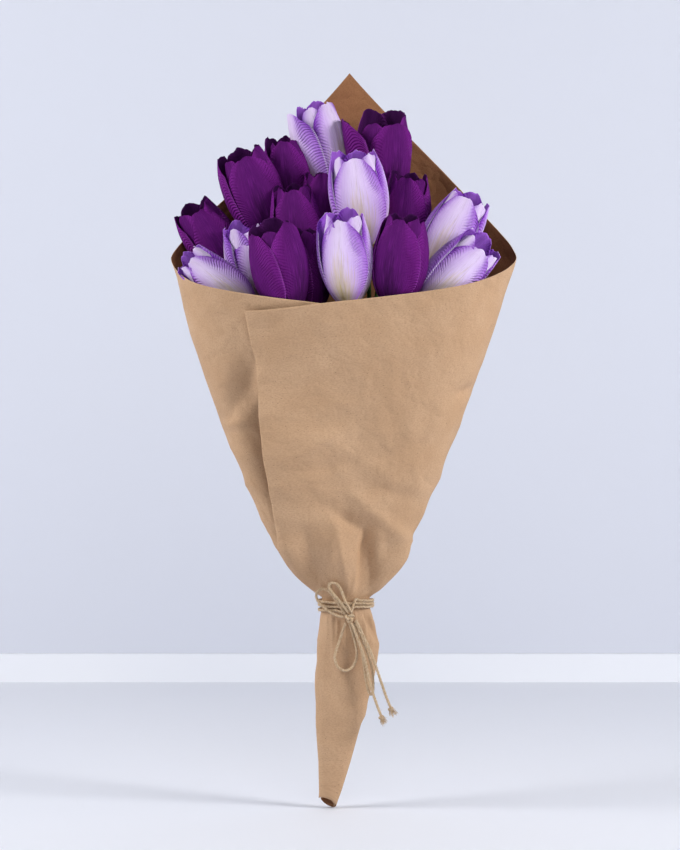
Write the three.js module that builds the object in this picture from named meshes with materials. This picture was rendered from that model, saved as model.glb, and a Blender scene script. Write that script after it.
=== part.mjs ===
// A bouquet of seventeen artificial tulips in a square kraft paper sheet, tied with jute twine.
// Millimetres. +Z runs up the bunch, the front of the wrap faces -Y, and the origin is the
// middle of the twine tie, on the axis of the bundle of stems.
import * as THREE from 'three';

// ---- driving sizes -------------------------------------------------------------------------

// flower heads
const headRadius = 20;
const headHeight = 72;
const headFlattening = 0.82; // depth over width, because the wrap presses the bunch flat
const petalThickness = 1.2;
const whorlGap = 0.6;
const headGap = 1; // spare room between neighbouring heads, added to every pitch

// stems
const stemDiameter = 4;
const stemGap = 0.5;
const holeClearance = 0.4; // between a stem and the whorls threaded on it
const stemTail = 64; // length of stem below the tie
const neckLength = 22; // last straight stretch of stem below a head

// kraft sheet
const sheetSide = 400;
const paperThickness = 0.6;
const layerGap = 0.9; // air between two overlapping layers
const bundleClearance = 0.6; // between the outer stems and the paper at the tie
const mouthClearance = 8; // between the outer heads and the paper at the mouth
const tipLength = 94; // from the lower ends of the stems to the rolled tip
const tipShift = -13.5; // the tip curls this far to the left of the axis
const flapReach = 216; // degrees from the middle of the back to the outer flap's edge
const tuckedReach = 200; // and to the edge tucked under it, on the other side
const woundReach = 270; // both of them where the twine winds the neck tight

// twine
const twineDiameter = 2.2;
const twineGap = 0.6;
const bindingTurns = 3;
const knotRadius = 3.6;
const knotShift = 2.8; // the knot sits this far to the right of the axis
const knotDrop = 5.8; // and its top this far below the middle of the binding

// ---- sizes that follow ---------------------------------------------------------------------

const stemPitch = stemDiameter + stemGap;
const stemRows = [5, 7, 5]; // stems side by side at the tie, from the front row to the back row
const bundleHalfWidth = (Math.max(...stemRows) * stemPitch) / 2 + bundleClearance;
const bundleHalfDepth = (stemRows.length * stemPitch) / 2 + 3 * bundleClearance;
const layerStep = paperThickness + layerGap;
const twinePitch = twineDiameter + twineGap;
const tieHalfHeight = (bindingTurns * twinePitch) / 2 + twineDiameter;
const headPitch = headRadius + headGap;

const tipHeight = -(stemTail + tipLength);
const rulingDrop = 0.958; // height gained per length of paper on the leaning sides and front
const lowestHead = 222; // height of the lowest head's base
const mouthHeight = lowestHead + 0.6 * headHeight; // where the wrap is widest
const headsAcross = 5.9; // from the axis to the side of the bunch, in head pitches
const headsToFront = 2.9;
const headsToBack = 2.35;
const mouthHalfWidth = headsAcross * headPitch + mouthClearance;
const mouthFront = headsToFront * headPitch + mouthClearance;
const mouthBack = headsToBack * headPitch + mouthClearance;
const sideLength = 1.06 * sheetSide; // from the tip to the rim, up the two sides
const sideRim = Math.max(mouthHeight, sideLength + tipHeight);

// ---- shared geometry -----------------------------------------------------------------------

// A closed solid through outlines of equal point count, joined ring to ring. An open run gets
// flat ends, and a closed run joins its last outline to its first.
function sweptSolid(outlines, closed) {
  const count = outlines[0].length;
  const index = [];
  const quad = (a, b, c, d) => index.push(a, b, c, a, c, d);
  const spans = closed ? outlines.length : outlines.length - 1;
  for (let span = 0; span < spans; span += 1) {
    const here = span * count;
    const there = ((span + 1) % outlines.length) * count;
    for (let k = 0; k < count; k += 1) {
      const next = (k + 1) % count;
      quad(here + k, here + next, there + next, there + k);
    }
  }
  if (!closed) {
    const last = (outlines.length - 1) * count;
    for (let k = 0; k < count / 2 - 1; k += 1) {
      quad(k + 1, k, count - 1 - k, count - 2 - k);
      quad(last + k, last + k + 1, last + count - 2 - k, last + count - 1 - k);
    }
  }
  const geometry = new THREE.BufferGeometry();
  const values = outlines.flat().flatMap((point) => point.toArray());
  geometry.setAttribute('position', new THREE.Float32BufferAttribute(values, 3));
  geometry.setIndex(signedVolume(values, index) < 0 ? index.reverse() : index);
  geometry.computeVertexNormals();
  return geometry;
}

function signedVolume(values, index) {
  const corner = (k) => new THREE.Vector3().fromArray(values, 3 * index[k]);
  let volume = 0;
  for (let k = 0; k < index.length; k += 3) {
    volume += corner(k).dot(corner(k + 1).cross(corner(k + 2))) / 6;
  }
  return volume;
}

// A ring of points round a centre, square to a direction that points mostly upwards.
function ringAround(centre, direction, radius, sides) {
  const across = new THREE.Vector3(0, 1, 0).cross(direction).normalize();
  const deep = direction.clone().cross(across).normalize();
  return Array.from({ length: sides }, (_, k) => {
    const turn = (2 * Math.PI * k) / sides;
    return centre
      .clone()
      .addScaledVector(across, radius * Math.cos(turn))
      .addScaledVector(deep, radius * Math.sin(turn));
  });
}

function smooth(from, to, value) {
  return THREE.MathUtils.smoothstep(value, from, to);
}

// Straight-line reading of a short table of [place, value] rows.
function between(rows, place) {
  const after = rows.findIndex((row) => row[0] >= place);
  if (after === 0) return rows[0][1];
  if (after < 0) return rows[rows.length - 1][1];
  const [low, high] = [rows[after - 1], rows[after]];
  const share = (place - low[0]) / (high[0] - low[0]);
  return THREE.MathUtils.lerp(low[1], high[1], share);
}

// ---- kraft paper wrap ----------------------------------------------------------------------

// The wrap is one square sheet rolled round its lower corner. Below the tie it follows the
// stems, then tapers to the tip; above the tie it flares to the mouth.
const lowerSwell = [[0, 1], [0.45, 1.14], [1, 1.2]]; // share of stemTail, share of the waist
const tipTaper = [[0, 1.2], [0.25, 0.98], [0.45, 0.7], [0.65, 0.45], [1, 0.18]];
const flarePower = 0.66;
const depthPower = 0.85;
const neckShift = 4; // the flare leans this far to the left just above the tie
const neckEasing = 25; // height over which the neck's tight winding eases
const squareness = 0.82; // 1 is an ellipse; less fills out the corners of the section

// A point of the flattened ring round the bunch. The angle is measured from the back.
function ringPoint(width, depth, angle, height) {
  const inward = Math.cos(angle);
  const deep = depth * Math.sign(inward) * Math.abs(inward) ** squareness;
  return new THREE.Vector3(width * Math.sin(angle), deep, height);
}

function wrapSection(height) {
  const waist = { width: bundleHalfWidth, front: bundleHalfDepth, back: bundleHalfDepth };
  if (height <= tieHalfHeight) {
    const below = Math.max(0, -height);
    const taper = Math.max(0, below - stemTail) / tipLength;
    const share = taper > 0 ? between(tipTaper, taper) : between(lowerSwell, below / stemTail);
    return {
      centre: tipShift * taper ** 0.7,
      width: waist.width * share,
      front: waist.front * share,
      back: waist.back * share,
    };
  }
  const rise = (height - tieHalfHeight) / (mouthHeight - tieHalfHeight);
  const flare = Math.min(1, rise) ** flarePower;
  const deepen = Math.min(1, rise) ** depthPower;
  const above = Math.max(0, height - sideRim);
  return {
    centre: 0.05 * above - neckShift * smooth(0, 0.15, rise) * (1 - smooth(1, 1.5, rise)),
    width: THREE.MathUtils.lerp(waist.width, mouthHalfWidth, flare) - 0.2 * above,
    front: THREE.MathUtils.lerp(waist.front, mouthFront, deepen),
    back: THREE.MathUtils.lerp(waist.back, mouthBack, deepen) + 0.06 * above,
  };
}

// How far each half of the sheet reaches round from the middle of the back, in degrees. The
// right half ends in the outer flap; the left half is tucked under it.
function reachRound(side, height) {
  const tighten = Math.exp(-Math.max(0, height - tieHalfHeight) / neckEasing);
  return THREE.MathUtils.lerp(side > 0 ? flapReach : tuckedReach, woundReach, tighten);
}

function rimHeight(side) {
  const fromMiddle = 45 * Math.abs(side);
  const length = sheetSide / Math.cos(THREE.MathUtils.degToRad(45 - fromMiddle));
  const lean = smooth(0, 0.4, Math.abs(side));
  return tipHeight + length * THREE.MathUtils.lerp(0.998, rulingDrop, lean);
}

function paperPoint(side, height, proud) {
  const turn = Math.abs(side) * reachRound(side, height) * Math.sign(side);
  const section = wrapSection(height);
  const wound = (layerStep * (turn + woundReach)) / 360;
  const angle = THREE.MathUtils.degToRad(turn);
  const depth = Math.cos(angle) > 0 ? section.back : section.front;
  const out = wound + proud;
  const point = ringPoint(section.width + out, depth + out, angle, height);
  point.x += section.centre;
  return point;
}

function paperWrap() {
  const columns = 48;
  const sharedTop = 0.5 * sheetSide; // below this every column uses the same heights
  const shares = [-1, -0.88, -0.72, -0.56, -0.4, -0.2];
  const rolled = shares.map((share) => share * -tipHeight);
  const flared = [0, 0.03, 0.06, 0.11, 0.18, 0.28, 0.42, 0.58, 0.78, 1];
  const open = flared.map((share) => tieHalfHeight + share * (sharedTop - tieHalfHeight));
  const outlines = [];
  for (let column = 0; column <= columns; column += 1) {
    const side = (2 * column) / columns - 1;
    const rim = rimHeight(side);
    const last = [0.33, 0.67, 1].map((share) => THREE.MathUtils.lerp(sharedTop, rim, share));
    const heights = [...rolled, -tieHalfHeight, ...open, ...last];
    const outer = heights.map((height) => paperPoint(side, height, paperThickness));
    const inner = heights.map((height) => paperPoint(side, height, 0));
    outlines.push([...outer, ...inner.reverse()]);
  }
  return sweptSolid(outlines, false);
}

// ---- tulips --------------------------------------------------------------------------------

const lilac = 0xc9a9e6;
const plum = 0x5a1964;
const spinStep = 0.7; // each head is turned this many radians more than the one before

// Each flower: its name, where the base of its head is (across and deep in head pitches, rise
// in head heights over the lowest heads), its lean to the right in degrees, its size as a
// share of a full head, its colour, and its place at the tie as [row, column].
const tulips = [
  ['front_dark_left', -2.0, -2.15, 0, -13, 0.94, plum, [0, 0]],
  ['front_tucked', -1.14, -1.19, 0.05, -5, 0.73, plum, [0, 1]],
  ['front_middle', 0.1, -2.15, 0.1, -3, 0.92, lilac, [0, 2]],
  ['front_dark_right', 1.7, -2.15, 0.08, 8, 0.92, plum, [0, 4]],
  ['front_right', 2.65, -1.5, 0.09, 46, 0.92, lilac, [0, 3]],
  ['middle_low_left', -3.3, -1.15, 0.05, -52, 0.82, lilac, [1, 1]],
  ['middle_left', -3.17, -0.08, 0.06, -11, 0.83, lilac, [1, 0]],
  ['middle_dark_left', -1.62, -0.13, 0.44, -6, 0.84, plum, [1, 2]],
  ['middle_low', -0.91, 0.88, 0.63, 0, 0.78, plum, [1, 3]],
  ['middle_tall', 0.7, -0.4, 0.73, -7, 1, lilac, [1, 4]],
  ['middle_dark_right', 2.1, 0.45, 0.56, 4, 0.87, plum, [1, 5]],
  ['middle_right', 3, -0.2, 0.4, 28, 0.94, lilac, [1, 6]],
  ['back_far_left', -3.95, 0.9, 0.35, -32, 0.92, plum, [2, 0]],
  ['back_dark_left', -2.75, 0.7, 0.82, -20, 0.96, plum, [2, 1]],
  ['back_left', -1.9, 1.6, 1.01, -8, 0.81, plum, [2, 2]],
  ['back_top', -0.45, 1.97, 1.33, -14, 0.92, lilac, [2, 3]],
  ['back_right', 1.3, 1.6, 1.14, 1, 1, plum, [2, 4]],
];

// Width of a head at each share of its height, as a share of its radius.
const headProfile = [[0, 0.44], [0.22, 0.88], [0.52, 1], [1, 0.56]];
const petalNotch = 0.3; // how far the edge dips between two petals, as a share of the height

// Three petals cut in one piece of fabric and threaded on the stem: a cup with three lobes.
// The inner whorl is the same cup, one inset smaller.
function petalWhorl(radius, height, inset, spin) {
  const hole = stemDiameter / 2 + holeClearance;
  const columns = 12;
  const outlines = [];
  for (let column = 0; column < columns; column += 1) {
    const angle = spin + (2 * Math.PI * column) / columns;
    const lobe = 0.5 + 0.5 * Math.cos((6 * Math.PI * column) / columns);
    const edge = 1 - petalNotch * (1 - lobe);
    const wall = (depth) =>
      [(inset + depth) / height, 0.22, 0.52, edge].map((share) => [
        radius * between(headProfile, share) - inset - depth,
        share * height,
      ]);
    const profile = [
      [hole, inset],
      ...wall(0),
      ...wall(petalThickness).reverse(),
      [hole, inset + petalThickness],
    ];
    outlines.push(
      profile.map(([r, z]) => {
        const flat = r > hole ? headFlattening : 1;
        return new THREE.Vector3(r * Math.cos(angle), r * Math.sin(angle) * flat, z);
      }),
    );
  }
  return sweptSolid(outlines, true);
}

const seatFlare = 1.6; // the seat's rim as a share of the stem's radius
const stopperFlare = 1.8;
const stopperGap = 0.5; // between the inner whorl and the stopper
const shoulderStep = 0.05; // height of the square shoulders of seat and stopper

// The stem: coated wire, straight through the tie, bent to its head, with a seat under the
// petals and a stopper above them that keeps both whorls on.
function stemWithSeat(foot, base, axis) {
  const radius = stemDiameter / 2;
  const sides = 6;
  const up = new THREE.Vector3(0, 0, 1);
  const rings = [];
  const addRing = (point, direction, size) => rings.push(ringAround(point, direction, size, sides));
  addRing(new THREE.Vector3(foot.x, foot.y, -stemTail), up, radius);
  const top = new THREE.Vector3(foot.x, foot.y, tieHalfHeight);
  const neck = base.clone().addScaledVector(axis, -neckLength);
  const span = top.distanceTo(neck);
  const bend = new THREE.CubicBezierCurve3(
    top,
    top.clone().addScaledVector(up, 0.3 * span),
    neck.clone().addScaledVector(axis, -0.15 * span),
    neck,
  );
  const bendSteps = 6;
  for (let step = 0; step <= bendSteps; step += 1) {
    const share = step / bendSteps;
    addRing(bend.getPoint(share), bend.getTangent(share), radius);
  }
  const seatHeight = 1.5 * stemDiameter;
  const threaded = 2 * petalThickness + 2 * whorlGap + stopperGap;
  const along = [
    [-seatHeight, radius],
    [-whorlGap, seatFlare * radius],
    [-whorlGap + shoulderStep, radius],
    [threaded, radius],
    [threaded + shoulderStep, stopperFlare * radius],
    [threaded + 2 * stemDiameter, 0.8 * radius],
  ];
  for (const [distance, size] of along) {
    addRing(base.clone().addScaledVector(axis, distance), axis, size);
  }
  return sweptSolid(rings, false);
}

function tiePlace([row, column]) {
  return {
    x: (column - (stemRows[row] - 1) / 2) * stemPitch,
    y: (row - (stemRows.length - 1) / 2) * stemPitch,
  };
}

function addTulip(parent, [name, across, deep, rise, leanDegrees, size, tint, place], number) {
  const lean = THREE.MathUtils.degToRad(leanDegrees);
  const axis = new THREE.Vector3(Math.sin(lean), 0, Math.cos(lean));
  const height = headHeight * (0.5 + 0.5 * size);
  const base = new THREE.Vector3(
    across * headPitch,
    deep * headPitch,
    lowestHead + rise * headHeight,
  );
  const radius = headRadius * size;
  const spin = spinStep * number;
  const fabric = new THREE.MeshStandardMaterial({ color: tint, roughness: 0.6 });
  const coated = new THREE.MeshStandardMaterial({ color: 0x4d7a3a, roughness: 0.5 });
  const head = new THREE.Group();
  head.position.copy(base);
  head.rotation.y = lean;

  const outer = new THREE.Mesh(petalWhorl(radius, height, 0, spin), fabric);
  outer.name = `tulip_${name}_outer_petals`;
  const inset = petalThickness + whorlGap;
  const inner = new THREE.Mesh(petalWhorl(radius, height, inset, spin + Math.PI / 3), fabric);
  inner.name = `tulip_${name}_inner_petals`;
  head.add(outer, inner);

  const stem = new THREE.Mesh(stemWithSeat(tiePlace(place), base, axis), coated);
  stem.name = `tulip_${name}_stem`;
  parent.add(head, stem);
}

// ---- twine ---------------------------------------------------------------------------------

const paperAtTie = {
  width: bundleHalfWidth + 1.5 * layerStep + paperThickness,
  depth: bundleHalfDepth + 1.5 * layerStep + paperThickness,
};
const bindingWidth = paperAtTie.width + twineGap + twineDiameter / 2;
const bindingDepth = paperAtTie.depth + twineGap + twineDiameter / 2;
const bindingFront = -(bindingDepth + twineDiameter / 2);

class BindingHelix extends THREE.Curve {
  getPoint(share, target = new THREE.Vector3()) {
    const angle = Math.PI * (2 * bindingTurns * share + 1);
    const height = bindingTurns * twinePitch * (share - 0.5);
    return target.copy(ringPoint(bindingWidth, bindingDepth, angle, height));
  }
}

function twineTube(curve, steps) {
  const sides = 8;
  const section = new THREE.Shape(
    Array.from({ length: sides }, (_, k) => {
      const turn = (2 * Math.PI * k) / sides;
      const radius = twineDiameter / 2;
      return new THREE.Vector2(radius * Math.cos(turn), radius * Math.sin(turn));
    }),
  );
  return new THREE.ExtrudeGeometry(section, { steps, extrudePath: curve, bevelEnabled: false });
}

// The knot sits just under the lowest turn. Every loop and tail starts at its skin, so their
// points are chosen from the knot's middle.
const knot = new THREE.Vector3(knotShift, bindingFront - 0.65 * knotRadius, -(knotRadius + knotDrop));

const twineRuns = {
  bow_loop_round: [
    [-4.6, 0.2, 0.6], [-9.6, 0.2, 1.8], [-15.4, 1, 4.6], [-20.8, 2.2, 9.2], [-25, 3.2, 14],
    [-25.2, 3.4, 18.6], [-21.4, 2.8, 22], [-16, 1.6, 20.4], [-11.4, 0.8, 14.8],
    [-7.2, 0.3, 8.6], [-3.5, 0.3, 3.1],
  ],
  bow_loop_narrow: [
    [-1.2, -0.9, 4.3], [-4, -2.6, 8.4], [-8.2, -3.2, 13.8], [-13, -3, 19.4], [-16, -2.6, 24],
    [-14.2, -2.6, 27], [-9.6, -3, 26], [-6.2, -3.4, 20.8], [-3.6, -3.4, 13.6],
    [-0.6, -2.4, 8.2], [1.7, -1, 4.3],
  ],
  bow_loop_hanging: [
    [-2.9, 0.6, -3.7], [-5, 1, -9], [-7.4, 1.2, -16.4], [-10.2, 1.2, -24.4], [-11.4, 1.2, -31],
    [-9.2, 1.2, -37.4], [-3.6, 1.2, -40.6], [2, 1.2, -37.8], [5.2, 1.2, -30.6],
    [5, 1.2, -22.6], [2.6, 1, -13], [-0.1, 0.8, -4.5],
  ],
  bow_loop_long: [
    [2.6, 0.3, -4.1], [5.4, 0.4, -13.6], [9, 0.4, -25], [10.9, 0.5, -35.4], [12.2, 0.6, -45.6],
    [14, 0.6, -54.8], [16.2, 0.6, -58.8], [17.9, 0.6, -55], [17.8, 0.6, -46], [16.9, 0.5, -37.8],
    [14.4, 0.4, -28.6], [10.6, 0.4, -18.4], [6.6, 0.6, -9.2], [3.9, 0.9, -2.9],
  ],
  tail_left: [
    [1.3, -2.6, -3.7], [3.4, -2.8, -9], [6.2, -2.8, -16], [10.6, -2.6, -28], [13.9, -2.4, -42],
    [16.9, -2.2, -54.6], [20.8, -2, -66.6], [24.4, -2, -76],
  ],
  tail_right: [
    [4.7, -2, -1.4], [7.8, -2.6, -7.6], [11, -2.8, -14.6], [16.4, -2.8, -26.4], [20.2, -2.4, -37.6],
    [24, -1.8, -48.8], [27.9, -1.4, -60.2], [31.6, -1.2, -69.6],
  ],
};

function addTwine(parent) {
  const jute = () => new THREE.MeshStandardMaterial({ color: 0xbea06e, roughness: 0.9 });
  const binding = new THREE.Mesh(twineTube(new BindingHelix(), 26 * bindingTurns), jute());
  binding.name = 'twine_binding';
  const knotShape = new THREE.SphereGeometry(knotRadius, 12, 8).scale(1.1, 0.85, 1);
  const knotMesh = new THREE.Mesh(knotShape, jute());
  knotMesh.name = 'twine_knot';
  knotMesh.position.copy(knot);
  parent.add(binding, knotMesh);
  for (const [name, points] of Object.entries(twineRuns)) {
    const route = points.map(([x, y, z]) => new THREE.Vector3(x, y, z));
    const curve = new THREE.CatmullRomCurve3(route);
    const steps = Math.round(curve.getLength() / (2 * twineDiameter));
    const run = new THREE.Mesh(twineTube(curve, Math.max(steps, 2 * points.length)), jute());
    run.name = `twine_${name}`;
    run.position.copy(knot);
    parent.add(run);
  }
}

// ---- the bouquet ---------------------------------------------------------------------------

const bouquet = new THREE.Group();

const kraft = new THREE.MeshStandardMaterial({ color: 0xc4a482, roughness: 0.85 });
const wrap = new THREE.Mesh(paperWrap(), kraft);
wrap.name = 'paper_wrap';
bouquet.add(wrap);
addTwine(bouquet);
tulips.forEach((tulip, number) => addTulip(bouquet, tulip, number));

export default bouquet;
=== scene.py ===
"""The looks of a bouquet of artificial tulips, wrapped in kraft paper and tied with jute twine."""
import math
import random

import bmesh
import bpy
import numpy as np
from mathutils import Matrix, Vector, geometry, noise


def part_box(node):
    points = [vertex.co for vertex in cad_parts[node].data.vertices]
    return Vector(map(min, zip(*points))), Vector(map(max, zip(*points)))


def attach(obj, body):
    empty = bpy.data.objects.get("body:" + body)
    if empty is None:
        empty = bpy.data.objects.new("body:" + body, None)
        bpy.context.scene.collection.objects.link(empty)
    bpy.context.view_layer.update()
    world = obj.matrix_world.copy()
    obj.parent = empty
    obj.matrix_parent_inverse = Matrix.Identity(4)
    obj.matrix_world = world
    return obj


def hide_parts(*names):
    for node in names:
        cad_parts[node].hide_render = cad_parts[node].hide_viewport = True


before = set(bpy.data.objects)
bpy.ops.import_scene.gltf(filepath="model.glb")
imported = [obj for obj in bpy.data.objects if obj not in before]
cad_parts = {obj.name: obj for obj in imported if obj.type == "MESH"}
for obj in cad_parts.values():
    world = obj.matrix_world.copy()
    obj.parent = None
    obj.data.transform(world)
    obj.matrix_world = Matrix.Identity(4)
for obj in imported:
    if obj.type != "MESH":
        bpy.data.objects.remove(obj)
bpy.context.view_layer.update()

# ---- Camera --------------------------------------------------------------------------------
# A long lens in front of the bunch, a little above it. It frames the bouquet from the rolled
# tip to the top corner of the paper, with room all round.
camera_target = Vector((-0.0046, 0, 0.1376))
camera_distance = 2.4
camera_elevation = math.radians(2)
field_height = 0.653
camera_data = bpy.data.cameras.new("camera")
camera_data.sensor_width = 36
camera_data.lens = camera_data.sensor_width * camera_distance / field_height
camera = bpy.data.objects.new("camera", camera_data)
backwards = Vector((0, -math.cos(camera_elevation), math.sin(camera_elevation)))
camera.location = camera_target + camera_distance * backwards
camera.rotation_euler = (-backwards).to_track_quat("-Z", "Y").to_euler()
bpy.context.scene.collection.objects.link(camera)
bpy.context.scene.camera = camera


# ---- Jute twine ----------------------------------------------------------------------------
# Three plies of hairy jute yarn twisted into one twine, 2.2 mm thick. Three turns of it grip
# the neck of the wrap, and its ends make a knot in front with four loops and two tails.
twine_radius = 0.0011
ply_groove = 0.72
ply_sides = 12
ply_pitch = 0.0085
twine_step = 0.0006
fibre_relief = 0.0006
jute_sheen = 0.15


def length_of(line):
    return sum((there - here).length for here, there in zip(line, line[1:]))


def stations(route, step):
    """Evenly stepped points on a smooth curve through the points of a route."""
    route = [Vector(point) for point in route]
    padded = [2 * route[0] - route[1], *route, 2 * route[-1] - route[-2]]
    line = []
    for before, here, there, after in zip(padded, padded[1:], padded[2:], padded[3:]):
        steps = max(2, round((there - here).length / step))
        leaving = here + (there - before) / 6
        arriving = there - (after - here) / 6
        line += geometry.interpolate_bezier(here, leaving, arriving, there, steps + 1)[:-1]
    return [*line, route[-1]]


def frames_along(line):
    """A placed and turned frame for every station, with its Z along the line and no twist."""
    heading = Vector((0, 0, 1))
    turn = heading.rotation_difference(heading)
    frames = []
    for number, place in enumerate(line):
        ahead = line[min(number + 1, len(line) - 1)] - line[max(number - 1, 0)]
        turn = heading.rotation_difference(ahead) @ turn
        heading = ahead.normalized()
        frames.append(Matrix.Translation(place) @ turn.to_matrix().to_4x4())
    return frames


def lay_twine(bm, line, radius):
    """Twists a three-ply twine along a line. The strand layer holds its place round and along."""
    strand = bm.verts.layers.float_vector["strand"]
    ring = bmesh.ops.create_circle(bm, segments=ply_sides, radius=radius, cap_ends=True)["verts"]
    for vertex in ring:
        angle = math.atan2(vertex.co.y, vertex.co.x)
        vertex.co *= ply_groove + (1 - ply_groove) * abs(math.cos(1.5 * angle))
        vertex[strand] = (math.cos(angle), math.sin(angle), 0)
    frames = frames_along(line)
    placed = frames[0]
    bmesh.ops.transform(bm, matrix=placed, verts=ring)
    edges = {edge for vertex in ring for edge in vertex.link_edges}
    along = 0
    for before, after in zip(frames, frames[1:]):
        along += (after.translation - before.translation).length
        grown = bmesh.ops.extrude_edge_only(bm, edges=list(edges))["geom"]
        ring = [item for item in grown if isinstance(item, bmesh.types.BMVert)]
        edges = {
            edge
            for vertex in ring
            for edge in vertex.link_edges
            if all(end in ring for end in edge.verts)
        }
        target = after @ Matrix.Rotation(math.tau * along / ply_pitch, 4, "Z")
        bmesh.ops.transform(bm, matrix=target @ placed.inverted(), verts=ring)
        placed = target
        for vertex in ring:
            vertex[strand] = (vertex[strand].x, vertex[strand].y, along)
    bmesh.ops.edgeloop_fill(bm, edges=list(edges))


def finish_piece(bm, name, finishes, body, stands_for):
    """Turns a bmesh into a smooth piece that rides on a body and stands for its CAD nodes."""
    mesh = bpy.data.meshes.new(name)
    bm.to_mesh(mesh)
    bm.free()
    mesh.shade_smooth()
    for finish in finishes:
        mesh.materials.append(finish)
    piece = bpy.data.objects.new(name, mesh)
    bpy.context.scene.collection.objects.link(piece)
    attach(piece, body)
    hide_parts(*stands_for)
    return piece


def paint(code):
    """A colour from its six-figure screen code, as the shader wants it."""
    parts = [int(code[place : place + 2], 16) / 255 for place in (0, 2, 4)]
    linear = [((part + 0.055) / 1.055) ** 2.4 if part > 0.04 else part / 12.92 for part in parts]
    return (*linear, 1)


class Value:
    """An output of a node. Arithmetic on it adds Math nodes to the same finish."""

    def __init__(self, finish, socket):
        self.finish = finish
        self.socket = socket

    def math(self, operation, *terms, clamp=False):
        settings = {"operation": operation, "use_clamp": clamp}
        return self.finish.node("ShaderNodeMath", settings, dict(enumerate(terms)))

    def __add__(self, other):
        return self.math("ADD", self, other)

    def __sub__(self, other):
        return self.math("SUBTRACT", self, other)

    def __rsub__(self, other):
        return self.math("SUBTRACT", other, self)

    def __mul__(self, other):
        return self.math("MULTIPLY", self, other)

    def __pow__(self, other):
        return self.math("POWER", self, other)

    def __abs__(self):
        return self.math("ABSOLUTE", self)

    def clamped(self):
        return self.math("ADD", self, 0, clamp=True)

    __radd__ = __add__
    __rmul__ = __mul__


class Finish:
    """A material made of nodes, with a Principled shader."""

    def __init__(self, name):
        self.material = bpy.data.materials.new(name)
        self.material.use_nodes = True
        self.tree = self.material.node_tree
        self.tree.nodes.clear()
        self.shader = self.tree.nodes.new("ShaderNodeBsdfPrincipled")
        output = self.tree.nodes.new("ShaderNodeOutputMaterial")
        self.tree.links.new(self.shader.outputs[0], output.inputs[0])

    def plug(self, socket, value):
        if isinstance(value, Value):
            self.tree.links.new(value.socket, socket)
        else:
            socket.default_value = value

    def node(self, kind, settings=None, sockets=None, output=0):
        """Adds a node: first its settings, then the values or links of its sockets."""
        made = self.tree.nodes.new(kind)
        for setting, value in (settings or {}).items():
            setattr(made, setting, value)
        for socket, value in (sockets or {}).items():
            self.plug(made.inputs[socket], value)
        return Value(self, made.outputs[output])

    def noise(self, vector, scale, detail=2, roughness=0.5):
        sockets = {"Vector": vector, "Scale": scale, "Detail": detail, "Roughness": roughness}
        return self.node("ShaderNodeTexNoise", {}, sockets)

    def stretched(self, vector, stretch):
        return self.node("ShaderNodeVectorMath", {"operation": "MULTIPLY"}, {0: vector, 1: stretch})

    def blend(self, share, first, second, mode="MIX"):
        settings = {"data_type": "RGBA", "blend_type": mode, "clamp_factor": True}
        return self.node("ShaderNodeMix", settings, {0: share, 6: first, 7: second}, 2)

    def bump(self, height, distance, strength=1.0):
        sockets = {"Height": height, "Distance": distance, "Strength": strength}
        return self.node("ShaderNodeBump", {}, sockets)

    def surface(self, sockets):
        for name, value in sockets.items():
            self.plug(self.shader.inputs[name], value)
        return self.material


def jute_finish():
    finish = Finish("jute")
    settings = {"attribute_name": "strand"}
    strand = finish.node("ShaderNodeAttribute", settings, output=1)
    fibres = finish.noise(finish.stretched(strand, (1, 1, 120)), 6, 3)
    slubs = finish.noise(finish.stretched(strand, (0.2, 0.2, 180)), 1)
    colour = finish.blend((fibres - 0.3) * 2.2, paint("9c7347"), paint("fae6c6"))
    colour = finish.blend((slubs - 0.35) * 0.9, colour, paint("d4ad7b"))
    return finish.surface({
        "Base Color": colour,
        "Roughness": 0.9,
        "Normal": finish.bump(fibres, fibre_relief),
        "Sheen Weight": jute_sheen,
    })


jute = jute_finish()


def new_twine():
    bm = bmesh.new()
    bm.verts.layers.float_vector.new("strand")
    return bm


knot_low, knot_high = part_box("twine_knot")
knot_middle = (knot_low + knot_high) / 2

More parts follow.
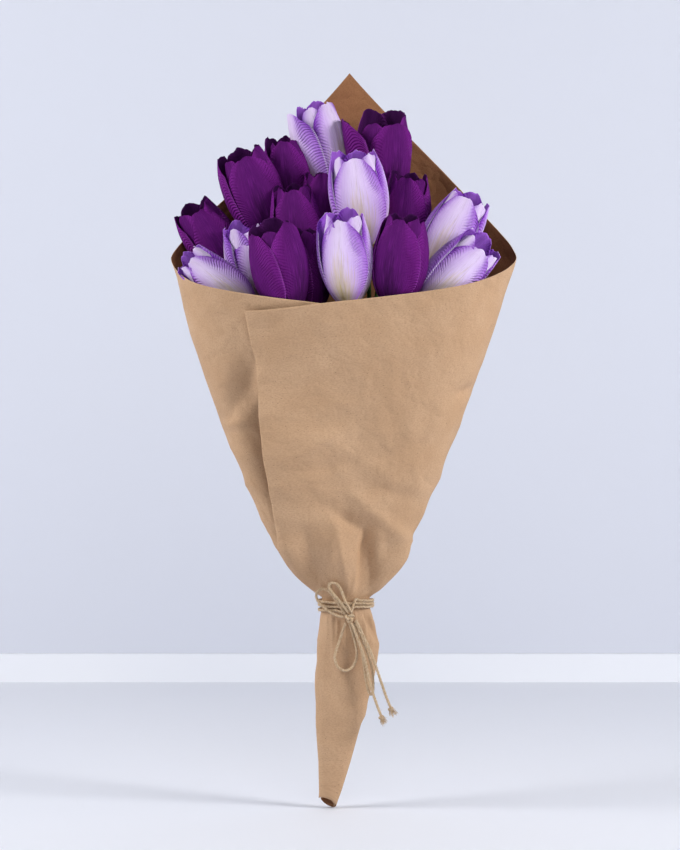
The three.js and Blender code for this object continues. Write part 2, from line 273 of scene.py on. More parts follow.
# Each run's route, from the middle of the knot.
bow_routes = {
    "twine_bow_loop_round": [
        (-0.0046, 0.0002, 0.0006), (-0.0096, 0.0002, 0.0018), (-0.0154, 0.001, 0.0046),
        (-0.0208, 0.0022, 0.0092), (-0.025, 0.0032, 0.014), (-0.0252, 0.0034, 0.0186),
        (-0.0214, 0.0028, 0.022), (-0.016, 0.0016, 0.0204), (-0.0114, 0.0008, 0.0148),
        (-0.0072, 0.0003, 0.0086), (-0.0035, 0.0003, 0.0031),
    ],
    "twine_bow_loop_narrow": [
        (-0.0012, -0.0009, 0.0043), (-0.004, -0.0026, 0.0084), (-0.0082, -0.0032, 0.0138),
        (-0.013, -0.003, 0.0194), (-0.016, -0.0026, 0.024), (-0.0142, -0.0026, 0.027),
        (-0.0096, -0.003, 0.026), (-0.0062, -0.0034, 0.0208), (-0.0036, -0.0034, 0.0136),
        (-0.0006, -0.0024, 0.0082), (0.0017, -0.001, 0.0043),
    ],
    "twine_bow_loop_hanging": [
        (-0.0029, 0.0006, -0.0037), (-0.005, 0.001, -0.009), (-0.0074, 0.0012, -0.0164),
        (-0.0102, 0.0012, -0.0244), (-0.0114, 0.0012, -0.031), (-0.0092, 0.0012, -0.0374),
        (-0.0036, 0.0012, -0.0406), (0.002, 0.0012, -0.0378), (0.0052, 0.0012, -0.0306),
        (0.005, 0.0012, -0.0226), (0.0026, 0.001, -0.013), (-0.0001, 0.0008, -0.0045),
    ],
    "twine_bow_loop_long": [
        (0.0026, 0.0003, -0.0041), (0.0054, 0.0004, -0.0136), (0.009, 0.0004, -0.025),
        (0.0109, 0.0005, -0.0354), (0.0122, 0.0006, -0.0456), (0.014, 0.0006, -0.0548),
        (0.0162, 0.0006, -0.0588), (0.0179, 0.0006, -0.055), (0.0178, 0.0006, -0.046),
        (0.0169, 0.0005, -0.0378), (0.0144, 0.0004, -0.0286), (0.0106, 0.0004, -0.0184),
        (0.0066, 0.0006, -0.0092), (0.0039, 0.0009, -0.0029),
    ],
    "twine_tail_left": [
        (0.0013, -0.0026, -0.0037), (0.0034, -0.0028, -0.009), (0.0062, -0.0028, -0.016),
        (0.0106, -0.0026, -0.028), (0.0139, -0.0024, -0.042), (0.0169, -0.0022, -0.0546),
        (0.0208, -0.002, -0.0666), (0.0244, -0.002, -0.076),
    ],
    "twine_tail_right": [
        (0.0047, -0.002, -0.0014), (0.0078, -0.0026, -0.0076), (0.011, -0.0028, -0.0146),
        (0.0164, -0.0028, -0.0264), (0.0202, -0.0024, -0.0376), (0.024, -0.0018, -0.0488),
        (0.0279, -0.0014, -0.0602), (0.0316, -0.0012, -0.0696),
    ],
}

bow_lines = {}
for run, route in bow_routes.items():
    bow_lines[run] = stations([knot_middle + Vector(point) for point in route], twine_step)


# ---- Knots ---------------------------------------------------------------------------------
# The bow's knot and the small overhand knot near each tail's end, all of the same twine. Each
# is a closed trefoil of twine, pulled tight.
bow_knot_size = 0.00105
end_knot_size = 0.00058
bow_knot_thickness = 1.05  # of the twine's radius
end_knot_thickness = 0.8  # thinner, because it is pulled tight
knot_steps = 64
knot_depth = 1.1
end_stations = 8  # the stretch at a tail's end that gives its heading


def add_knot(bm, place, facing, size, radius):
    """A trefoil with lobes three sizes out, in the plane that faces the given way."""
    turn = facing.to_track_quat("Z", "Y")
    line = []
    for number in range(knot_steps + 1):
        angle = math.tau * number / knot_steps
        point = Vector((
            math.sin(angle) + 2 * math.sin(2 * angle),
            math.cos(angle) - 2 * math.cos(2 * angle),
            -knot_depth * math.sin(3 * angle),
        ))
        line.append(place + turn @ (size * point))
    lay_twine(bm, stations(line, twine_step), radius)


bm = new_twine()
bow_knot_facing = Vector((0.2, -1, 0.15))
add_knot(bm, knot_middle, bow_knot_facing, bow_knot_size, bow_knot_thickness * twine_radius)
finish_piece(bm, "bow_knot", [jute], "wrap", ["twine_knot"])

tail_knots = {}
for run in ("twine_tail_left", "twine_tail_right"):
    end = bow_lines[run][-1]
    heading = (end - bow_lines[run][-end_stations]).normalized()
    bm = new_twine()
    add_knot(bm, end, heading, end_knot_size, end_knot_thickness * twine_radius)
    name = run.replace("twine_", "") + "_knot"
    tail_knots[run] = finish_piece(bm, name, [jute], "wrap", [])

# The bow's loops and tails, each a free length of the twine.
for run, line in bow_lines.items():
    bm = new_twine()
    lay_twine(bm, line, twine_radius)
    piece = finish_piece(bm, run.replace("twine_", ""), [jute], "wrap", [run])
    is_tail = run in tail_knots
    length_of(line)


# ---- Binding -------------------------------------------------------------------------------
# Three turns of twine round the neck of the wrap. They lie side by side and a little
# unevenly, and both ends run down to the knot.
binding_turns = 3
binding_squareness = 0.82  # 1 is an ellipse; less fills out the corners
binding_unevenness = 0.0005
binding_closing = 0.18  # the turns lie this much closer on the right than on the left
turn_steps = 36
binding_low, binding_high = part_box("twine_binding")
binding_half_width = (binding_high.x - binding_low.x) / 2 - twine_radius
binding_half_depth = (binding_high.y - binding_low.y) / 2 - twine_radius
binding_rise = binding_high.z - binding_low.z - 2 * twine_radius


def ring_point(width, depth, angle, height):
    """A point of the flattened ring round the bunch, at an angle from the back."""
    inward = math.cos(angle)
    deep = depth * math.copysign(abs(inward) ** binding_squareness, inward)
    return Vector((width * math.sin(angle), deep, height))


route = [knot_middle + Vector((-0.001, 0.0012, 0.002))]
for number in range(2, binding_turns * turn_steps - 1):
    share = number / (binding_turns * turn_steps)
    angle = math.pi * (2 * binding_turns * share + 1)
    waver = binding_unevenness * noise.noise(Vector((2 * math.sin(angle), number / 9, 0.3)))
    closing = 1 - binding_closing * math.sin(angle)
    height = closing * binding_rise * (share - 0.5) + waver
    route.append(ring_point(binding_half_width, binding_half_depth, angle, height))
route.append(knot_middle + Vector((0.001, -0.0002, 0.0034)))
binding_line = stations(route, twine_step)
bm = new_twine()
lay_twine(bm, binding_line, twine_radius)
finish_piece(bm, "binding", [jute], "wrap", ["twine_binding"])


# ---- Loose fibres --------------------------------------------------------------------------
# Ends of jute that stand out of the yarn all along the twine, and the brush of fibres where
# each tail was cut.
hair_radius = 0.00006
hair_spacing = 0.0011
hair_reach = (0.0012, 0.0034)
hair_bend = (0.3, 1.5)
hair_slant = (0.5, 2)
hair_root = 0.8  # of the twine's radius
brush_hairs = 70
brush_radius = 0.00014
brush_reach = (0.0025, 0.0055)
brush_bend = (0.1, 0.6)
brush_spread = 0.24
brush_width = 0.0028
brush_start = 0.0004  # past the end of the twine
fibre_dice = random.Random(11)


def add_fibre(bm, place, heading, length, bend, radius):
    """One fibre: a small triangle spun through a short arc, then set on its place."""
    corners = bmesh.ops.create_circle(bm, segments=3, radius=radius, cap_ends=True)
    geom = corners["verts"] + list({edge for v in corners["verts"] for edge in v.link_edges})
    centre = Vector((length / bend, 0, 0))
    spun = bmesh.ops.spin(bm, geom=geom, cent=centre, axis=(0, 1, 0), angle=bend, steps=4)
    verts = {v for v in corners["verts"]}
    verts |= {item for item in spun["geom_last"] if isinstance(item, bmesh.types.BMVert)}
    grown = True
    while grown:
        reached = {edge.other_vert(v) for v in verts for edge in v.link_edges}
        grown = not reached <= verts
        verts |= reached
    turn = heading.to_track_quat("Z", "X").to_matrix().to_4x4()
    roll = Matrix.Rotation(fibre_dice.uniform(0, math.tau), 4, "Z")
    bmesh.ops.transform(bm, matrix=Matrix.Translation(place) @ turn @ roll, verts=list(verts))


bm = new_twine()
for line in [binding_line, *bow_lines.values()]:
    for number in range(int(length_of(line) / hair_spacing)):
        station = fibre_dice.randrange(1, len(line) - 1)
        along = (line[station + 1] - line[station - 1]).normalized()
        out = along.cross(Vector([fibre_dice.gauss(0, 1) for _ in range(3)])).normalized()
        heading = out + fibre_dice.uniform(*hair_slant) * fibre_dice.choice((-1, 1)) * along
        place = line[station] + hair_root * twine_radius * out
        reach = fibre_dice.uniform(*hair_reach)
        add_fibre(bm, place, heading, reach, fibre_dice.uniform(*hair_bend), hair_radius)
for run in tail_knots:
    line = bow_lines[run]
    along = (line[-1] - line[-end_stations]).normalized()
    for number in range(brush_hairs):
        spread = Vector([fibre_dice.gauss(0, brush_spread) for _ in range(3)])
        heading = along + 0.8 * spread
        place = line[-1] + brush_start * along + brush_width * spread
        reach = fibre_dice.uniform(*brush_reach)
        add_fibre(bm, place, heading, reach, fibre_dice.uniform(*brush_bend), brush_radius)
bmesh.ops.recalc_face_normals(bm, faces=bm.faces)
finish_piece(bm, "loose_fibres", [jute], "wrap", [])


# ---- Kraft paper wrap ----------------------------------------------------------------------
# One square sheet of brown kraft paper, 0.4 m a side, rolled round its lower corner into a
# flattened cone. The right half ends in the outer flap, and the twine pinches its neck.
sheet_side = 0.4
paper_thickness = 0.0003
sheet_columns = 256
sheet_rows = 180
tip_height = -0.158
tie_half_height = 0.0064
neck_half_width = 0.01635
neck_half_depth = 0.00855
mouth_height = 0.2652
mouth_half_width = 0.1319
mouth_front = 0.0689
mouth_back = 0.05735
side_rim = 0.266
layer_step = 0.0015
flap_reach = 216  # degrees from the middle of the back to the outer flap's edge
tucked_reach = 200  # and to the edge tucked under it
wound_reach = 270  # both of them where the twine winds the neck tight
neck_easing = 0.025  # height over which that tight winding eases
flare_power = 0.66
deepen_power = 0.85
narrowing_above = 0.2  # per height over the side rims, where only the back stands
deepening_above = 0.06
drift_above = 0.02
neck_shift = 0.004  # the flare leans this far to the left just above the tie
skirt_deepest = 1.14

# Below the tie: the distance down, and the wrap's width there as a share of the neck's.
skirt_widths = [
    (0, 1), (0.01, 1.1), (0.028, 1.3), (0.045, 1.26), (0.064, 1.23), (0.08, 1.16),
    (0.1, 0.88), (0.122, 0.54), (0.145, 0.2), (0.152, 0.1), (0.158, 0.03),
]
# And how far its middle has moved to the right.
skirt_centres = [
    (0, 0), (0.03, 0.0022), (0.045, 0.001), (0.064, -0.0018), (0.08, -0.0035),
    (0.1, -0.0063), (0.122, -0.0085), (0.145, -0.0118), (0.158, -0.0145),
]


def ease(low, high, value):
    share = min(1, max(0, (value - low) / (high - low)))
    return share * share * (3 - 2 * share)


def lerp(first, second, share):
    return first + (second - first) * share


def between(rows, place):
    """Straight-line reading of a short table of (place, value) rows."""
    for (low, first), (high, second) in zip(rows, rows[1:]):
        if place <= high:
            return lerp(first, second, max(0, place - low) / (high - low))
    return rows[-1][1]


def wrap_section(height):
    """The wrap's centre, half width and half depths in front and behind, at a height."""
    if height <= tie_half_height:
        centre = between(skirt_centres, -height)
        share = between(skirt_widths, -height)
        depth = neck_half_depth * min(skirt_deepest, share)
        return centre, neck_half_width * share, depth, depth
    rise = (height - tie_half_height) / (mouth_height - tie_half_height)
    flare = min(1, rise) ** flare_power
    deepen = min(1, rise) ** deepen_power
    above = max(0, height - side_rim)
    centre = drift_above * above - neck_shift * ease(0, 0.15, rise) * (1 - ease(1, 1.5, rise))
    width = lerp(neck_half_width, mouth_half_width, flare) - narrowing_above * above
    front = lerp(neck_half_depth, mouth_front, deepen)
    back = lerp(neck_half_depth, mouth_back, deepen) + deepening_above * above
    return centre, width, front, back


def turn_at(side, height):
    """How far round from the middle of the back a place on the sheet lies, in degrees."""
    tighten = math.exp(-max(0, height - tie_half_height) / neck_easing)
    return side * lerp(flap_reach if side > 0 else tucked_reach, wound_reach, tighten)


def wrap_point(side, height, proud):
    """A point of the rolled sheet: side runs from -1, the tucked edge, to 1, the outer flap."""
    turn = turn_at(side, height)
    centre, width, front, back = wrap_section(height)
    out = layer_step * (turn + wound_reach) / 360 + proud
    angle = math.radians(turn)
    depth = back if math.cos(angle) > 0 else front
    point = ring_point(width + out, depth + out, angle, height)
    point.x += centre
    return point


# Creases in the front of the paper: where each starts and ends across and up, how wide its
# flanks are and how deep it is. A negative depth stands proud.
gathers_over_the_tie = [
    ((-0.008, 0.066), (0.000, 0.018), 0.0145, -0.0115),
    ((0.0165, 0.058), (0.0145, 0.008), 0.0078, 0.013),
    ((0.0215, 0.050), (0.0185, 0.012), 0.006, 0.0045),
    ((0.045, 0.048), (0.030, 0.010), 0.013, -0.0095),
    ((-0.028, 0.054), (-0.0215, 0.008), 0.009, 0.0048),
    ((-0.040, 0.060), (-0.030, 0.012), 0.007, -0.0020),
]
ridges_of_the_flap = [
    ((-0.014, 0.075), (0.014, 0.059), 0.0085, 0.0052),
    ((0.003, 0.086), (0.048, 0.048), 0.010, -0.0046),
    ((0.016, 0.092), (0.066, 0.078), 0.011, 0.0030),
    ((-0.030, 0.104), (0.002, 0.111), 0.008, 0.0034),
    ((-0.036, 0.115), (0.000, 0.134), 0.012, -0.0030),
    ((0.007, 0.110), (0.072, 0.127), 0.012, 0.0026),
    ((0.084, 0.160), (0.098, 0.168), 0.008, 0.0040),
    ((-0.050, 0.150), (-0.010, 0.170), 0.016, 0.0012),
]
dents_beside_the_flap = [
    ((-0.072, 0.188), (-0.094, 0.138), 0.013, 0.0060),
    ((-0.094, 0.138), (-0.078, 0.140), 0.006, -0.0030),
    ((-0.078, 0.134), (-0.050, 0.040), 0.014, 0.0095),
    ((-0.046, 0.026), (-0.033, 0.014), 0.004, 0.0026),
]
folds_under_the_tie = [
    ((0.0142, -0.0085), (0.0254, -0.0292), 0.0032, 0.0060),
    ((0.0190, -0.0075), (0.0285, -0.034), 0.0045, -0.0030),
    ((-0.0054, -0.010), (-0.0038, -0.020), 0.0025, 0.0018),
    ((-0.0085, -0.028), (-0.003, -0.074), 0.007, -0.0020),
    ((0.006, -0.030), (0.010, -0.066), 0.008, 0.0022),
    ((-0.003, -0.074), (0.020, -0.0755), 0.006, 0.0022),
    ((-0.010, -0.088), (-0.014, -0.130), 0.006, 0.0010),
]
crease_ends = 0.35  # how deep a crease is at its ends, as a share of its middle
crease_sharpness = 1.3
creases = [
    *gathers_over_the_tie,
    *ridges_of_the_flap,
    *dents_beside_the_flap,
    *folds_under_the_tie,
]


def crease_relief(across, up):
    """How far the creases push the paper out at a place on the front."""
    relief = 0
    place = Vector((across, up))
    for start, end, flank, depth in creases:
        start, end = Vector(start), Vector(end)
        share = (place - start).dot(end - start) / (end - start).length_squared
        share = min(1, max(0, share))
        distance = (place - start - share * (end - start)).length
        fade = crease_ends + (1 - crease_ends) * math.sin(math.pi * share)
        relief -= depth * fade * max(0, 1 - distance / flank) ** crease_sharpness
    return relief


flap_lift = 0.0145
flap_groove = 0.021
flap_angle = -137  # of the dent the flap leaves beside it, going round the other way
groove_spread = 11
tip_cut = 0.009  # the rolled tip is cut slantwise, open to the front and the left
front_rise = 0.004  # the rim bulges up over the flowers in front
rim_wave = 0.004
rim_settle = 0.0005
swell_depth = 0.0018
fold_depth = 0.0032
fine_fold_depth = 0.0006
gather_depth = 0.0026
gather_height = 0.035
dent_share = 0.6  # of the room in front of the neck's depth, the most that a dent takes
dent_at_neck = 0.0006
corner_half_angle = 45  # between the sheet's diagonal and its lower edges
diagonal_lean = 1.008  # height gained per length of paper up the back
side_lean = 0.958  # and at the sides and in front


def paper_relief(side, height):
    """How far the real sheet stands off the plain cone. Its dents take a share of the room in front."""
    base = wrap_point(side, height, 0)
    freedom = ease(0.004, 0.05, abs(height)) * (1 - 0.85 * ease(0.09, 0.15, -height))
    coarse = swell_depth * noise.noise(base * 17 + Vector((3, 0, 5)))
    calmer = 1 - 0.6 * ease(0.1, 0.2, height)
    folds = fold_depth * calmer * (0.3 - abs(noise.noise(base * 31)))
    fine = fine_fold_depth * (0.3 - abs(noise.noise(base * 70 + Vector((0, 7, 0)))))
    relief = freedom * (coarse + folds + fine)
    gather = math.exp(-abs(height) / gather_height) * ease(0.004, 0.012, abs(height))
    spoke = noise.noise(Vector((5.5 * math.atan2(base.x, base.y), 30 * height, 2)))
    relief += gather_depth * gather * (spoke + 0.15)
    if base.y < 0:
        relief += crease_relief(base.x, base.z) * min(1, -base.y / 0.008)
    gap = ease(0.008, 0.05, height) * (1 - 0.9 * ease(0.11, 0.19, height))
    if side > 0:
        relief += flap_lift * gap * ease(0.78, 1, side)
    else:
        past_groove = (turn_at(side, height) - flap_angle) / groove_spread
        relief -= flap_groove * gap * math.exp(-(past_groove**2))
    room = wrap_section(height)[2] - neck_half_depth
    return max(relief, -dent_at_neck - dent_share * room)


def sheet_point(across, up):
    """The place of a point of the flat sheet, by its side and its share of the way up."""
    fan = math.radians(corner_half_angle * across)
    edge_length = sheet_side / math.cos(math.radians(corner_half_angle) - abs(fan))
    lean = lerp(diagonal_lean, side_lean, ease(0, 0.4, abs(across)))
    height = tip_height + up * edge_length * lean
    angle = math.radians(wound_reach * across)
    to_front_left = 0.5 - 0.35 * (math.sin(angle) + math.cos(angle))
    height += tip_cut * to_front_left * (1 - ease(0, 0.08, up))
    rim = ease(0.86, 1, up)
    height += front_rise * rim * ease(0.5, 0.78, abs(across)) * (1 - ease(0.82, 1, abs(across)))
    relief = paper_relief(across, height)
    waves = noise.noise(Vector((4.3 * across, 1.5, 0.4)))
    relief += rim * (rim_wave * waves - rim_settle)
    return wrap_point(across, height, relief)


pulp_relief = 0.045
grain_relief = 0.032
crumple_depth = 0.0036
edge_columns_closer = 0.45  # columns crowd towards the two edges, where the flap lifts
end_rows_closer = 0.11  # and rows towards the tip and the rim


def kraft_finish(name, tone, lighter, darker):
    finish = Finish(name)
    flat = finish.node("ShaderNodeUVMap", {"uv_map": "sheet"})
    clouds = finish.noise(flat, 14, 3)
    pulp = finish.noise(finish.stretched(flat, (420, 300, 1)), 1, 3, 0.65)
    grain = finish.noise(finish.stretched(flat, (1500, 1000, 1)), 1, 2, 0.7)
    specks = finish.noise(flat, 420, 1)
    crumple = abs(finish.noise(flat, 13, 2) - 0.5) + 0.35 * abs(finish.noise(flat, 41, 1) - 0.5)
    colour = finish.blend((clouds - 0.35) * 1.6, tone, lighter)
    colour = finish.blend((pulp - 0.42) * 2.2, colour, darker)
    colour = finish.blend((grain - 0.5) * 1.3, colour, lighter)
    colour = finish.blend((specks - 0.69) * 9, colour, paint("6b4a2c"))
    return finish.surface({
        "Base Color": colour,
        "Roughness": 0.62 + 0.3 * grain,
        "Normal": finish.bump(pulp * pulp_relief + grain * grain_relief + crumple, crumple_depth),
    })


kraft_outside = kraft_finish("kraft_outside", paint("be9976"), paint("cba887"), paint("a7825f"))
# The inner side is a darker copy of the same kraft: painted shade inside the wrap.
kraft_inside_painted_shade = kraft_finish("kraft_inside_painted_shade", paint("94623d"), paint("a5744b"), paint("784829"))
# The rim is a paler copy of the same kraft: partly the cut edge's own tone, partly a painted highlight
# along the edges.
kraft_edge_and_highlight = kraft_finish("kraft_cut_edge_and_highlight", paint("e0c39d"), paint("ead2b0"), paint("c7a67e"))

bm = bmesh.new()
bm.loops.layers.uv.new("sheet")
bmesh.ops.create_grid(bm, x_segments=sheet_columns, y_segments=sheet_rows, size=1)
flat_uv = bm.loops.layers.uv["sheet"]
for vertex in bm.verts:
    vertex.co.x *= 1 + edge_columns_closer - edge_columns_closer * abs(vertex.co.x)
    vertex.co.y -= end_rows_closer * math.sin(math.pi * (vertex.co.y + 1))
for face in bm.faces:
    for corner in face.loops:
        across, up = corner.vert.co.x, 0.5 + 0.5 * corner.vert.co.y
        fan = math.radians(corner_half_angle * across)
        length = up / math.cos(math.radians(corner_half_angle) - abs(fan))
        leaning = math.radians(corner_half_angle) - fan
        corner[flat_uv].uv = (length * math.cos(leaning), length * math.sin(leaning))
for vertex in bm.verts:
    vertex.co = sheet_point(vertex.co.x, 0.5 + 0.5 * vertex.co.y)
bmesh.ops.reverse_faces(bm, faces=bm.faces)
finishes = [kraft_outside, kraft_inside_painted_shade, kraft_edge_and_highlight]
paper = finish_piece(bm, "kraft_paper", finishes, "wrap", ["paper_wrap"])
layers = paper.modifiers.new("thickness", "SOLIDIFY")
layers.thickness = paper_thickness
layers.offset = -1
layers.use_even_offset = False
layers.material_offset = 1
layers.material_offset_rim = 2


# ---- Petals --------------------------------------------------------------------------------
# Each head is two whorls of three fabric petals, cut, printed and heat-moulded with a midrib
# and slanting ribs. The whorls are threaded on the stem, the inner one turned half a petal.
petal_thickness = 0.00035
midrib_depth = 0.0006
flute_depth = 0.0005
ribs_up_petal = 27
ribs_across_petal = 9
head_depth_share = 0.74
mouth_slant = 0.15  # the more a head opens, the higher its petals at the back stand
petal_reach = 74  # half of a petal's span round the head in degrees
petal_reach_open = 6  # and how much less when the head is open
tip_narrowing = 0.42
edge_curl = 0.0012  # both edges of a petal curl inwards
edge_lap = 0.0009  # one edge lies over its neighbour
petal_wave = 0.0022
tip_flutter = 0.0008
edge_lowering = 0.09
edge_rounding = 0.15
edge_unevenness = 0.03
edge_raggedness = 0.012
petal_gloss = 0.08
petal_relief = 0.0009

# How each head differs: its width as a share of its CAD whorl, how far its mouth is open
# from 0 to 1, how far it is turned in degrees, and how far one petal falls outwards.
characters = {
    "front_dark_left": (1.15, 0.5, 142, 0),
    "front_tucked": (1.1, 0.2, 20, 0),
    "front_middle": (1.14, 0.35, 72, 0.04),
    "front_dark_right": (1.16, 0.25, 68, 0),
    "front_right": (1.14, 0.5, 100, 0),
    "middle_low_left": (1.08, 0.3, 90, 0),
    "middle_left": (1.12, 0.5, 110, 0),
    "middle_dark_left": (1.2, 0.2, 85, 0),
    "middle_low": (1.15, 0.2, 95, 0),
    "middle_tall": (1.15, 0.35, 85, 0),
    "middle_dark_right": (1.12, 0.3, 80, 0),
    "middle_right": (1.16, 0.4, 80, 0),
    "back_far_left": (1.12, 0.4, 100, 0),
    "back_dark_left": (1.24, 0.4, 95, 0),
    "back_left": (1.12, 0.25, 85, 0),
    "back_top": (1.08, 0.3, 138, 0.1),
    "back_right": (1.18, 0.7, 122, 0.16),
}
plum_heads = [
    "front_dark_left", "front_tucked", "front_dark_right", "middle_dark_left", "middle_low",
    "middle_dark_right", "back_far_left", "back_dark_left", "back_left", "back_right",
]


def head_frame(node):
    """The base, the axis and the sizes of a flower head, from the shape of its CAD whorl."""
    points = np.unique([tuple(v.co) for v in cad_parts[node].data.vertices], axis=0)
    middle = points.mean(0)
    spread, ways = np.linalg.eigh(np.cov((points - middle).T))
    axis = Vector(ways[:, 2])
    if axis.z < 0:
        axis.negate()
    along = (points - middle) @ np.array(axis)
    base = Vector(middle) + float(along.min()) * axis
    deep = Vector((0, 1, 0))
    across = deep.cross(axis).normalized()
    radius = np.abs((points - middle) @ np.array(across)).max()
    turn = Matrix((across, axis.cross(across), axis)).transposed().to_4x4()
    return Matrix.Translation(base) @ turn, float(radius), float(along.max() - along.min())


def petal_point(s, t, petal):
    """A point of a petal: s runs across it from -1 to 1 and t from its base to its tip."""
    width, height, open_share, facing, fall, seed = petal
    edge_noise = noise.noise(Vector((2.2 * s, 0, seed)))
    ragged = noise.noise(Vector((7 * s, 2, seed)))
    top = 1 - edge_lowering * s**2 - edge_rounding * abs(s) ** 5 - edge_unevenness * edge_noise
    top -= edge_raggedness * ragged * ease(0.75, 1, t)
    along = t * top
    swell = math.sin(math.pi * (0.07 + (0.75 - 0.22 * open_share) * along**0.72))
    spread = math.radians(petal_reach - petal_reach_open * open_share)
    spread *= 0.8 + 0.2 * ease(0, 0.3, along)
    spread *= 1 - tip_narrowing * along**4
    relief = -midrib_depth * math.exp(-((s / 0.07) ** 2)) * (1 - 0.5 * along)
    relief += flute_depth * math.exp(-(((abs(s) - 0.17) / 0.08) ** 2)) * (1 - along)
    relief -= edge_curl * abs(s) ** 3
    relief += edge_lap * s
    wave = noise.noise(Vector((1.6 * s, 1.8 * t, seed + 4)))
    relief += petal_wave * wave * (0.3 + abs(s)) * t
    relief += tip_flutter * math.sin(8 * s + 5 * seed) * ease(0.8, 1.05, t)
    radial = width * swell + relief + fall * height * along**1.6
    angle = facing + s * spread
    return Vector((
        radial * math.cos(angle),
        head_depth_share * radial * math.sin(angle),
        height * along - 0.25 * fall * height * along**2,
    ))


def add_petal(bm, columns, rows, petal):
    made = bmesh.ops.create_grid(bm, x_segments=columns, y_segments=rows, size=1, calc_uvs=True)
    for vertex in made["verts"]:
        vertex.co = petal_point(vertex.co.x, 0.5 + 0.5 * vertex.co.y, petal)


def petal_finish(name, tones):
    """Printed fabric: a heart along the midrib, deeper flanks, a tinted base and a pale cut edge.
    Painted light and shade sit on the ribs, on the plum heads' near-black base and, in part, on the
    pale edge line.
    """
    heart, body, edge, base, streak, cut = [paint(code) for code in tones]
    finish = Finish(name)
    place = finish.node("ShaderNodeUVMap", {"uv_map": "petal"})
    split = finish.node("ShaderNodeSeparateXYZ", {}, {0: place})
    s = abs(split - 0.5) * 2
    t = finish.node("ShaderNodeSeparateXYZ", {}, {0: place}, 1)
    threads = finish.noise(finish.stretched(place, (55, 3.2, 1)), 1, 3)
    fine_threads = finish.noise(finish.stretched(place, (150, 5, 1)), 1, 2)
    clouds = finish.noise(finish.stretched(place, (3, 2, 1)), 1, 2)
    rib_phase = t * ribs_up_petal - s * ribs_across_petal + clouds * 2
    wave = finish.node("ShaderNodeMath", {"operation": "SINE"}, {0: rib_phase * math.tau})
    ribs = wave * ((s + clouds - 0.85) * 2.4).clamped() * (t * 5 - 0.6).clamped()
    to_edge = (s + (threads - 0.5) * 0.4) ** 1.4
    # The ribs also nudge the colour between the heart and body tones: painted light and shade along the
    # moulded ribs.
    colour = finish.blend(to_edge * 1.4 + ribs * 0.12, heart, body)
    colour = finish.blend((s + (t - 0.6) * 0.8 + (clouds - 0.5) - 0.62) * 1.7, colour, edge)
    # Towards the base and the midrib: the lilac print's yellow-green, and on the plum heads painted
    # shade.
    down = (0.74 - t - s * 0.7 + (threads - 0.5) * 1.1) * 1.5
    colour = finish.blend(down, colour, base)
    colour = finish.blend((fine_threads - 0.52) * 2.2 * (1.1 - s), colour, streak)
    # A pale line along each edge: partly the cut fabric's own edge, partly a painted highlight.
    colour = finish.blend((s - 0.93) * 9, colour, cut)
    return finish.surface({
        "Base Color": colour,
        "Roughness": 0.6 + 0.2 * fine_threads,
        "Normal": finish.bump(ribs * 0.45 + threads * 0.6 + fine_threads * 0.3, petal_relief),
        "Specular IOR Level": petal_gloss,
    })


petal_tones = {
    # The inside sets are darker copies of the outside ones: painted shade within the heads, with the
    # lilac inside also printed a deeper violet.
    "lilac_outside": ("e7d4f6", "bf8ae9", "8c3cc8", "d3bf84", "b799c0", "f3e6fb"),
    "lilac_inside": ("a868d8", "9650cc", "7a30b4", "c0a888", "6a2ba0", "e6d2f6"),
    # The plum base tones are near-black: painted shade at the foot of the petals, where the lilac base
    # is a printed yellow-green.
    "plum_outside": ("540f62", "64156f", "842593", "2b0533", "8e309e", "9c48ac"),
    "plum_inside": ("3a0a46", "45104f", "561a63", "1e0425", "2c0734", "7a2f88"),
}
petal_finishes = {name: petal_finish(name, tones) for name, tones in petal_tones.items()}

# The columns and rows of a petal's mesh, the whorl's width as a share of the head's, and the
# angle it is turned.
whorls = {"outer": (34, 76, 1, 0), "inner": (26, 56, 0.86, 60)}
for number, (name, (fullness, opening, turned, fall)) in enumerate(characters.items()):
    tint = "plum" if name in plum_heads else "lilac"
    finishes = [petal_finishes[f"{tint}_outside"], petal_finishes[f"{tint}_inside"]]
    for whorl, (columns, rows, narrowing, offset) in whorls.items():
        node = f"tulip_{name}_{whorl}_petals"
        place, radius, height = head_frame(f"tulip_{name}_outer_petals")
        bm = bmesh.new()
        bm.loops.layers.uv.new("petal")
        for leaf in range(3):
            seed = 1.37 * number + 0.61 * leaf + 0.29 * offset
            unlike = noise.noise(Vector((seed, 2.5, 1)))
            facing = math.radians(turned + offset + 120 * leaf - 180)
            petal = (
                radius * fullness * narrowing,
                height * (1 + 0.05 * unlike + mouth_slant * opening * math.sin(facing)),
                opening + 0.15 * unlike,
                facing,
                fall if leaf == 2 and whorl == "outer" else 0,
                seed,
            )
            add_petal(bm, columns, rows, petal)
        bmesh.ops.transform(bm, matrix=place, verts=bm.verts)
        piece = finish_piece(bm, f"{name}_{whorl}_petals", finishes, "flowers", [node])
        fabric = piece.modifiers.new("thickness", "SOLIDIFY")
        fabric.thickness = petal_thickness
        fabric.offset = -1
        fabric.use_even_offset = False
        fabric.material_offset = 1


# ---- Stems ---------------------------------------------------------------------------------
# Wire cores coated in soft green plastic, with a seat moulded under each head. They stand
# in the wrap side by side, and the twine grips them through the paper.
stem_smoothing = 2
coating_relief = 0.00025
same_place = 0.00002


def stem_finish():
    finish = Finish("stem_coating")
    place = finish.node("ShaderNodeTexCoord", output=3)
    clouds = finish.noise(place, 60, 3)
    grain = finish.noise(finish.stretched(place, (900, 900, 120)), 1, 2)
    colour = finish.blend((clouds - 0.3) * 1.8, paint("3f6b2f"), paint("6d9448"))
    colour = finish.blend((grain - 0.5) * 1.2, colour, paint("86a860"))
    return finish.surface({
        "Base Color": colour,
        "Roughness": 0.42 + 0.25 * grain,
        "Normal": finish.bump(grain, coating_relief),
    })


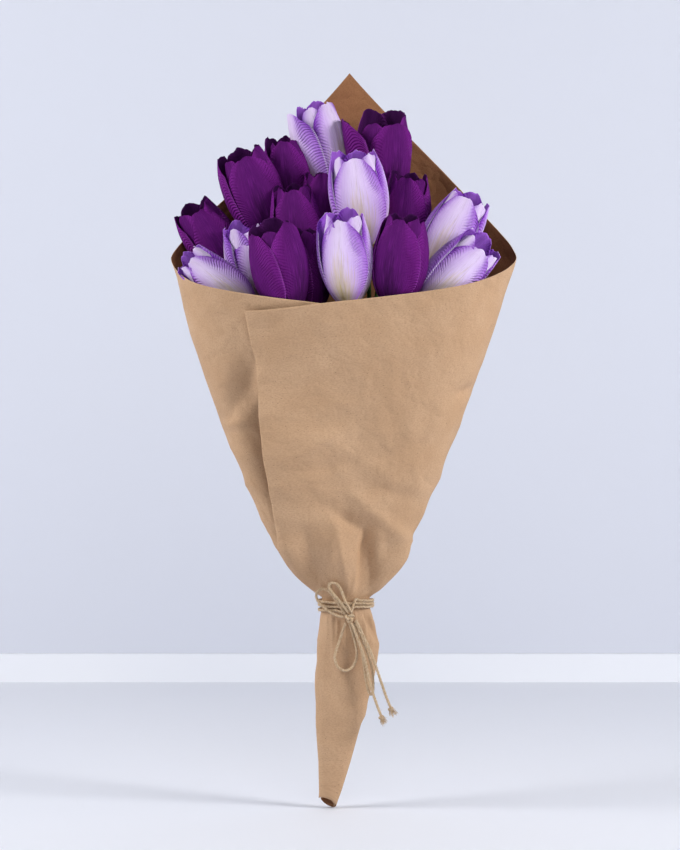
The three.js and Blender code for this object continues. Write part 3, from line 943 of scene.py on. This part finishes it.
coating = stem_finish()
for name in characters:
    node = f"tulip_{name}_stem"
    bm = bmesh.new()
    bm.from_mesh(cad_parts[node].data)
    bmesh.ops.remove_doubles(bm, verts=bm.verts, dist=same_place)
    bmesh.ops.join_triangles(
        bm, faces=bm.faces, angle_face_threshold=0.9, angle_shape_threshold=0.9
    )
    bmesh.ops.recalc_face_normals(bm, faces=bm.faces)
    piece = finish_piece(bm, f"{name}_stem", [coating], "flowers", [node])
    rounding = piece.modifiers.new("rounding", "SUBSURF")
    rounding.levels = stem_smoothing
    rounding.render_levels = stem_smoothing


# ---- Floor, wall and light -----------------------------------------------------------------
# A pale table top with a pale wall and skirting behind it, lit by a soft lamp on either side
# and a weaker one in front.
room_half_width = 3
wall_distance = 0.84
skirting_height = 0.029
skirting_depth = 0.012


def plain_finish(name, colour, roughness):
    finish = Finish(name)
    place = finish.node("ShaderNodeTexCoord", output=3)
    clouds = finish.noise(place, 2.2, 3)
    shade = finish.blend((clouds - 0.4) * 0.5, paint(colour), paint("d3d8e6"))
    return finish.surface({"Base Color": shade, "Roughness": roughness})


def stage_mesh(bm, name, finish):
    """Turns a bmesh into a part of the room, which is not a piece of the bouquet."""
    mesh = bpy.data.meshes.new(name)
    bm.to_mesh(mesh)
    bm.free()
    mesh.materials.append(finish)
    fixture = bpy.data.objects.new(name, mesh)
    bpy.context.scene.collection.objects.link(fixture)


def add_board(name, place, turn, finish):
    bm = bmesh.new()
    bmesh.ops.create_grid(bm, x_segments=1, y_segments=1, size=room_half_width)
    bmesh.ops.transform(bm, matrix=Matrix.Translation(place) @ turn, verts=bm.verts)
    stage_mesh(bm, name, finish)


upright = Matrix.Rotation(math.radians(90), 4, "X")
floor_middle = Vector((0, wall_distance - room_half_width, tip_height))
add_board("floor", floor_middle, Matrix(), plain_finish("floor", "e4e6ed", 0.7))
wall_middle = Vector((0, wall_distance, tip_height + room_half_width))
add_board("wall", wall_middle, upright, plain_finish("wall", "d3d6e1", 0.9))

bm = bmesh.new()
bmesh.ops.create_cube(bm, size=1)
bmesh.ops.scale(bm, vec=(2 * room_half_width, skirting_depth, skirting_height), verts=bm.verts)
skirting_middle = Vector((0, wall_distance - skirting_depth / 2, tip_height + skirting_height / 2))
bmesh.ops.translate(bm, vec=skirting_middle, verts=bm.verts)
stage_mesh(bm, "skirting", plain_finish("skirting", "ebedf3", 0.8))

lights = [
    ("left", (-1.5, -0.45, 1.0), 0.9, 25),
    ("right", (1.5, -0.7, 0.8), 0.6, 25),
    ("front", (0.2, -1.9, 1.2), 1.0, 7.5),
]
for name, place, size, power in lights:
    lamp_data = bpy.data.lights.new(name, "AREA")
    lamp_data.shape = "SQUARE"
    lamp_data.size = size
    lamp_data.energy = power
    lamp = bpy.data.objects.new(name, lamp_data)
    lamp.location = place
    lamp.rotation_euler = (camera_target - Vector(place)).to_track_quat("-Z", "Y").to_euler()
    bpy.context.scene.collection.objects.link(lamp)

world = bpy.data.worlds.new("studio")
world.use_nodes = True
world.node_tree.nodes["Background"].inputs["Color"].default_value = paint("e2e6f0")
world.node_tree.nodes["Background"].inputs["Strength"].default_value = 0.13
bpy.context.scene.world = world
bpy.context.scene.view_settings.view_transform = "Standard"
